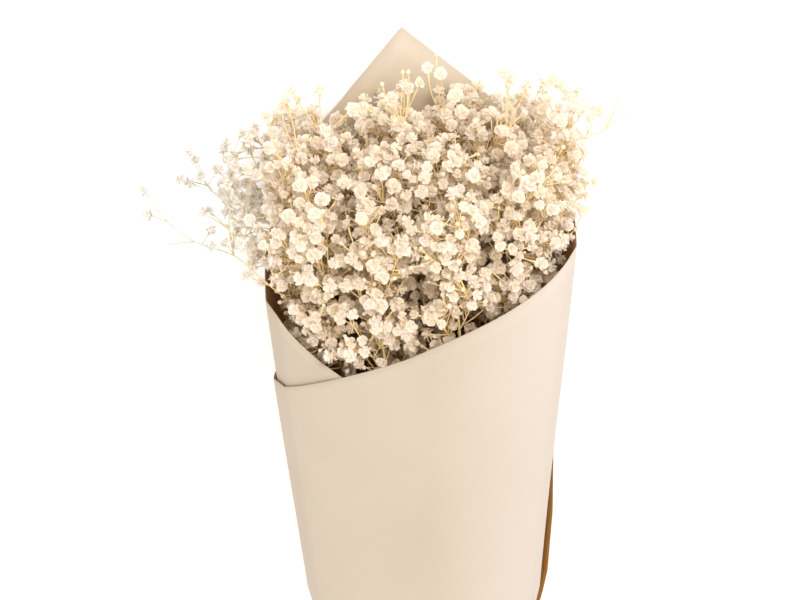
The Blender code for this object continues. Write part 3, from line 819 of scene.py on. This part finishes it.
class Dressing:
    """Fine stalks and true-size heads on the lines of one spray."""

    def __init__(self, number, growth):
        self.growth = growth
        self.draw = random.Random(dressing_seed + number)
        self.stalks = Pile()
        self.petals = Pile()
        self.heads = 0

    def bloom(self, centre, axis, size):
        draw = self.draw
        grey = clamped((grey_from - centre.x) / grey_over)
        upward = Vector((draw.uniform(-1, 1), draw.uniform(-1, 1), draw.uniform(-1, 1) + 1))
        lean = axis + upward * head_turn
        # Heads deeper below the tops and further inside the paper get more painted golden shade
        below_tops = head_range(centre)[1] - (centre - focus).length
        depth = clamped(min(below_tops / deep_below, (1.0 - cone_place(centre)) / deep_inside))
        self.petals.shape(draw.choice(blooms), centre, lean.normalized(), size,
                          draw.uniform(0, math.tau), tint_draw * draw.random() + deep_shade_tint * depth, grey)
        self.heads += 1
        crowd.setdefault(cube(centre), []).append((centre, size))

    def bud(self, centre, axis, size):
        draw = self.draw
        self.petals.shape(bud, centre, axis, size, draw.uniform(0, math.tau), draw.random(), 0.0)
        self.heads += 1
        crowd.setdefault(cube(centre), []).append((centre, size))

    def pedicel(self, root, centre, size, bow=fine_bow):
        """Thin stalk that widens into the calyx under a head."""
        axis = (centre - root).normalized()
        line = bowed(root, centre - axis * size * fine_end, self.draw, bow)
        self.stalks.tube(line, (*fine_radii, min(calyx_radius, size * calyx_share)), 4)

    def cluster(self, line, size):
        """Three or four blooms on short stalks that fork from the end of a twig."""
        draw = self.draw
        axis = (line[-1] - line[-2]).normalized()
        centre = line[-1]
        fork = centre - axis * (size + draw.uniform(*cluster_fork))
        count = draw.choice(cluster_counts)
        first = draw.uniform(0, math.tau)
        for number in range(count):
            around = first + math.tau * number / min(count, 3)
            if number < 3:
                offset = (cluster_ring * math.cos(around), cluster_ring * math.sin(around),
                          draw.uniform(*cluster_height))
            else:
                offset = (0.0, 0.0, cluster_top)
            place = centre + axis.to_track_quat("Z", "Y") @ Vector(offset) * size
            radius = size * draw.uniform(*cluster_radius)
            self.pedicel(fork, place, radius)
            self.bloom(place, (place - fork).normalized(), radius)
        return fork

    def buds(self, line, size):
        """One bud at the end of a stalk."""
        axis = (line[-1] - line[-2]).normalized()
        radius = size * self.draw.uniform(*bud_share)
        self.bud(line[-1], axis, radius)
        return line[-1] - axis * radius * bud_end

    def single(self, line, size):
        """One bloom at the end of a sprig."""
        axis = (line[-1] - line[-2]).normalized()
        self.bloom(line[-1], axis, size)
        return line[-1] - axis * size * bloom_end

    def stalk(self, line, size, kind, radius):
        """One stalk of the frame, bent a little, with what it carries."""
        if kind == "cluster":
            end = self.cluster(line, size)
        elif kind == "buds":
            end = self.buds(line, size)
        elif kind == "single":
            end = self.single(line, size)
        else:
            end = line[-1]
        if len(line) > 2:
            path = smooth_line([*line[:-1], end], 4)
        else:
            path = bowed(line[0], end, self.draw, stalk_bow)
        last = len(path) - 1
        radii = [radius * (stalk_foot - stalk_taper * number / last) for number in range(len(path))]
        self.stalks.tube(path, radii, 5)

    def extra(self):
        """One more head on a short stalk, if there is room for it where the draws put it."""
        draw = self.draw
        root_line = draw.choice(self.growth.twigs)
        way = root_line[1] - root_line[0]
        if way.length < shortest_line:
            return
        root = root_line[0] + way * draw.uniform(*extra_roots)
        aside = way.cross(random_way(draw)).normalized()
        axis = (way.normalized() * draw.uniform(*extra_forward) + aside).normalized()
        is_bloom = draw.random() < extra_bloom_share
        size = draw.uniform(*(extra_bloom if is_bloom else extra_bud))
        place = root + axis * (size + draw.uniform(*extra_length))
        lowest, highest = head_range(place)
        if not lowest - extra_below < (place - focus).length < highest + extra_above:
            return
        if spills(place) or place.z < size + extra_floor_room:
            return
        if any(plane.dot(place - focus) > extra_overlap for plane in self.growth.planes):
            return
        if is_crowded(place, size):
            return
        refused = left_refused if place.x < thin_left else 0.0
        if draw.random() < (far_left_refused if place.x < thin_far_left else refused):
            return
        if shell.find_nearest(place, size + extra_paper_room)[0] is not None:
            return
        if shell.ray_cast(root, axis, (place - root).length)[0] is not None:
            return
        self.pedicel(root, place, size)
        (self.bloom if is_bloom else self.bud)(place, axis, size)


stem_radius, stem_top_radius, stem_taper = 0.0016, 0.0006, 1.5
dressings = [Dressing(number, Growth(number)) for number in range(len(sites))]
for dressing in dressings:
    stem = smooth_line(dressing.growth.stem, 5)
    radii = [stem_radius + (stem_top_radius - stem_radius) * (step / (len(stem) - 1)) ** stem_taper
             for step in range(len(stem))]
    dressing.stalks.tube(stem, radii, 7)
    for stalk in dressing.growth.stalks:
        dressing.stalk(*stalk)

# Heads that stand clear of the mass at its outline, as they are seen in the photo: the pixel across
# and down its frame, and the height in millimetres at which that line of sight is followed
outline_blooms = (
    (189, 183, 86), (201, 177, 86), (197, 159, 86), (223, 150, 86), (227, 143, 86), (241, 133, 86),
    (247, 140, 85), (217, 171, 86), (226, 184, 87), (235, 166, 85), (246, 172, 85), (209, 212, 88),
    (211, 231, 88), (224, 242, 86), (211, 247, 86), (234, 203, 85), (236, 222, 85), (247, 277, 86),
    (266, 117, 80), (279, 110, 80), (290, 93, 80), (285, 101, 78), (269, 149, 82), (320, 90, 80),
    (353, 110, 70), (364, 106, 66), (391, 100, 70), (403, 85, 60), (409, 90, 64), (427, 68, 60),
    (440, 74, 60), (420, 84, 66), (455, 96, 66), (504, 73, 70), (510, 80, 70), (529, 84, 70),
    (551, 78, 70), (558, 84, 68), (566, 97, 70), (560, 119, 72), (571, 134, 72), (580, 142, 71),
    (589, 115, 71), (598, 106, 71), (583, 172, 72), (592, 177, 70), (583, 208, 74),
)
outline_buds = ((383, 82, 60), (382, 93, 60), (402, 70, 55), (409, 70, 55), (436, 53, 55))
camera_place = (-0.0165, 0.4049, 1.2188)
camera_tilt = math.radians(-15.05)
camera_lens, sensor_width = 98.2, 36
picture_width, picture_height = 800, 600


def seen_place(across, down, height):
    """Whole millimetres along X and Y of what the camera sees at a pixel, at a height above the floor."""
    scale = camera_lens / sensor_width * picture_width
    right, up = (across - picture_width / 2) / scale, (picture_height / 2 - down) / scale
    forward = up * math.cos(camera_tilt) + math.sin(camera_tilt)
    fall = up * math.sin(camera_tilt) - math.cos(camera_tilt)
    reach = (height / 1000 - camera_place[2]) / fall
    return (round(1000 * (camera_place[0] + reach * right)),
            round(1000 * (camera_place[1] + reach * forward)))


outline_height, height_rise = 60, 0.22      # in millimetres, and for each one to the left or the right
outline_bloom_radius, outline_bud_radius = (0.0032, 0.0044), 0.0014
fork_shares = (0.2, 0.4, 0.6, 0.8, 1.0)     # places along the twigs that a head may grow from
fork_drop, shortest_stalk = 0.006, 0.009


def root_cost(fork, place):
    """How badly a head's stalk would grow from a fork: a short one that comes from below is best."""
    reach = (fork[1] - place).length
    return reach + 2 * max(0.0, fork[1].y - place.y + fork_drop) + (1 if reach < shortest_stalk else 0)


forks = [(dressing, twig[0].lerp(twig[1], share)) for dressing in dressings
         for twig in dressing.growth.twigs for share in fork_shares]
size_draw = random.Random(4)
for seen in outline_blooms + outline_buds:
    x, y = seen_place(*seen)
    place = Vector((x, y, outline_height + height_rise * abs(x))) / 1000
    is_bloom = seen in outline_blooms
    radius = size_draw.uniform(*outline_bloom_radius) if is_bloom else outline_bud_radius
    for dressing, root in sorted(forks, key=lambda fork: root_cost(fork, place)):
        way = place - root
        if shell.ray_cast(root, way.normalized(), way.length)[0] is None:
            break
    dressing.pedicel(root, place, radius, outline_bow)
    (dressing.bloom if is_bloom else dressing.bud)(place, way.normalized(), radius)

# More heads fill the mass, and each spray becomes two objects: its stalks and its heads
extra_tries, most_heads = 2500, 225
for number, dressing in enumerate(dressings):
    for _ in range(extra_tries):
        if dressing.heads < most_heads:
            dressing.extra()
    stalks = dressing.stalks.piece(f"spray_{number + 1:02d}_stalks", stalk_finish, True)
    heads = dressing.petals.piece(f"spray_{number + 1:02d}_heads", petal_finish, False)
    for made in (stalks, heads):
        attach(made, "root")
        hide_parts(f"gypsophila_spray_{number + 1:02d}")


# Cord. A rough two-ply twine of brown plant fibre holds the gathered paper round the stems. It is
# wound three times round the neck of the paper and pulled tight

cord_turns, cord_steps, cord_pitch = 3, 72, 0.0011
cord_radius = 0.0171
strand_radius, strand_offset, strand_twists = 0.00042, 0.00036, 13      # with the twists in one turn
cord = Pile()
for strand in range(2):
    line = []
    for step in range(cord_turns * cord_steps + 1):
        turn = step / cord_steps
        angle = math.tau * turn
        twist = math.tau * turn * strand_twists + math.pi * strand
        radius = cord_radius + strand_offset * math.cos(twist)
        y = tie_y + (turn - cord_turns / 2) * cord_pitch + strand_offset * math.sin(twist)
        line.append(Vector((neck.x + radius * math.sin(angle), y, neck.z + radius * math.cos(angle))))
    cord.tube(line, [strand_radius] * len(line), 6)
cord_finish, start = new_material("twine")
hair = start.node("ShaderNodeTexCoord", {}, {}, "Object").noise(1800.0, 4.0)
colour = (hair * 1.4 - 0.2).blend((0.350, 0.230, 0.110, 1), (0.680, 0.500, 0.290, 1))
finish_material(start, start.node("ShaderNodeBsdfPrincipled", {}, {
    "Base Color": colour, "Roughness": hair * 0.2 + 0.7, "Normal": hair.bump(0.8, 0.0003)}))
made = cord.piece("neck_twine", cord_finish, True)
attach(made, "root")
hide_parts("neck_cord")


# Floor. A plain white matt board lies just under the bunch and runs far past the picture's edges.
# It is part of the studio and not of the bunch

floor_size, floor_z = 6, -0.0006
bpy.ops.object.select_all(action="DESELECT")
bpy.ops.mesh.primitive_plane_add(size=floor_size, location=(0, 0, floor_z))
floor = bpy.context.object
floor.name = "floor"
floor_finish, start = new_material("white_floor")
cloud = start.node("ShaderNodeTexCoord", {}, {}, "Object").noise(3.0, 2.0)
white = cloud.blend((0.93, 0.93, 0.93, 1), (0.95, 0.95, 0.95, 1))
board = start.node("ShaderNodeBsdfPrincipled", {}, {"Base Color": white, "Roughness": 0.9})
finish_material(start, board)
floor.data.materials.append(floor_finish)


# Light and camera. A white studio gives most of the light, a soft warm lamp shines from the upper
# right and a weaker one from the lower left. The camera looks down and a little back along the bunch

scene = bpy.context.scene
scene.view_settings.view_transform = "Standard"
world = bpy.data.worlds.new("studio")
scene.world = world
world.use_nodes = True
world.node_tree.nodes["Background"].inputs["Color"].default_value = (1.0, 0.985, 0.96, 1)
world.node_tree.nodes["Background"].inputs["Strength"].default_value = 1.24


def area_light(name, place, aim, size, power, colour):
    data = bpy.data.lights.new(name, "AREA")
    data.size = size
    data.energy = power
    data.color = colour
    made = bpy.data.objects.new(name, data)
    made.location = place
    made.rotation_euler = (Vector(aim) - Vector(place)).to_track_quat("-Z", "Y").to_euler()
    scene.collection.objects.link(made)


area_light("key", (0.7, 1.1, 1.6), (0, 0.1, 0.05), 0.9, 23, (1.0, 0.975, 0.94))
area_light("fill", (-0.8, -0.5, 1.6), (0, 0.1, 0.05), 1.2, 10, (1.0, 0.99, 0.98))

camera = bpy.data.objects.new("camera", bpy.data.cameras.new("camera"))
camera.location = camera_place
camera.rotation_euler = (camera_tilt, 0, 0)
camera.data.lens = camera_lens
camera.data.sensor_width = sensor_width
scene.collection.objects.link(camera)
scene.camera = camera
